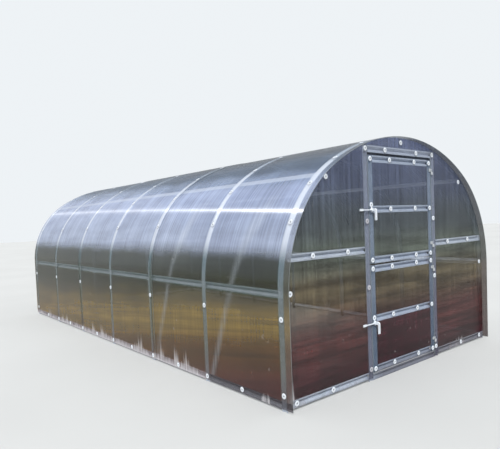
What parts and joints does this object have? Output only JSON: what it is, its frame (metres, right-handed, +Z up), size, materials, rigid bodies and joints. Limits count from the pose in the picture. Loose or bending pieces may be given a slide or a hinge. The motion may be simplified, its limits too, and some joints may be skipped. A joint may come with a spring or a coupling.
{
  "type": "arched greenhouse",
  "caption": "Walk-in arched tunnel greenhouse: bent galvanised V-profile arches under clear twin-wall sheets, with a two-leaf stable door and turn latches in one gable.",
  "frame": {"origin": "on the ground, under the middle of the whole", "axes": "X across, Y along the greenhouse with the door gable facing -Y, Z up"},
  "size_m": [2.9992, 6.18, 2.0994],
  "materials": {
    "galvanised": "zinc galvanised, satin with a fine spangle",
    "clear_sheet": "clear twin-wall polycarbonate, fluted and glossy",
    "white_plastic": "moulded white plastic",
    "hinge_steel": "zinc plated steel"
  },
  "bodies": {
    "greenhouse": {"arch_1": "galvanised", "arch_2": "galvanised", "arch_3": "galvanised", "arch_4": "galvanised", "arch_5": "galvanised", "arch_6": "galvanised", "arch_7": "galvanised", "door_sill": "galvanised", "front_base_rails": "galvanised", "front_header": "galvanised", "front_left_sheet": "clear_sheet", "front_posts": "galvanised", "front_right_sheet": "clear_sheet", "front_side_rails": "galvanised", "front_top_sheet": "clear_sheet", "left_base_rail": "galvanised", "left_shoulder_purlin": "galvanised", "left_side_purlin": "galvanised", "post_hinges": "hinge_steel", "rear_base_rails": "galvanised", "rear_header": "galvanised", "rear_left_sheet": "clear_sheet", "rear_mid_rails": "galvanised", "rear_middle_sheet": "clear_sheet", "rear_posts": "galvanised", "rear_right_sheet": "clear_sheet", "rear_side_rails": "galvanised", "ridge_purlin": "galvanised", "right_base_rail": "galvanised", "right_shoulder_purlin": "galvanised", "right_side_purlin": "galvanised", "roof_sheet_1": "clear_sheet", "roof_sheet_2": "clear_sheet", "roof_sheet_3": "clear_sheet"},
    "upper_leaf": {"upper_latch_boss": "white_plastic", "upper_leaf_hinges": "hinge_steel", "upper_leaf_rails": "galvanised", "upper_leaf_sheet": "clear_sheet", "upper_leaf_stiles": "galvanised"},
    "lower_leaf": {"lower_latch_boss": "white_plastic", "lower_leaf_hinges": "hinge_steel", "lower_leaf_rails": "galvanised", "lower_leaf_sheet": "clear_sheet", "lower_leaf_stiles": "galvanised"},
    "upper_latch": {"upper_latch": "white_plastic"},
    "lower_latch": {"lower_latch": "white_plastic"}
  },
  "joints": [
    {"name": "upper_leaf_hinge", "type": "hinge", "parent": "greenhouse", "child": "upper_leaf", "pos_m": [0.487, -3.0398, 1.457], "axis": [0, 0, 1], "range_deg": [0, 150]},
    {"name": "upper_latch_turn", "type": "hinge", "parent": "upper_leaf", "child": "upper_latch", "pos_m": [-0.454, -3.0393, 1.455], "axis": [0, -1, 0], "range_deg": [0, 90]},
    {"name": "lower_leaf_hinge", "type": "hinge", "parent": "greenhouse", "child": "lower_leaf", "pos_m": [0.487, -3.0398, 0.523], "axis": [0, 0, 1], "range_deg": [0, 150]},
    {"name": "lower_latch_turn", "type": "hinge", "parent": "lower_leaf", "child": "lower_latch", "pos_m": [-0.454, -3.0393, 0.49], "axis": [0, -1, 0], "range_deg": [0, 90]}
  ]
}
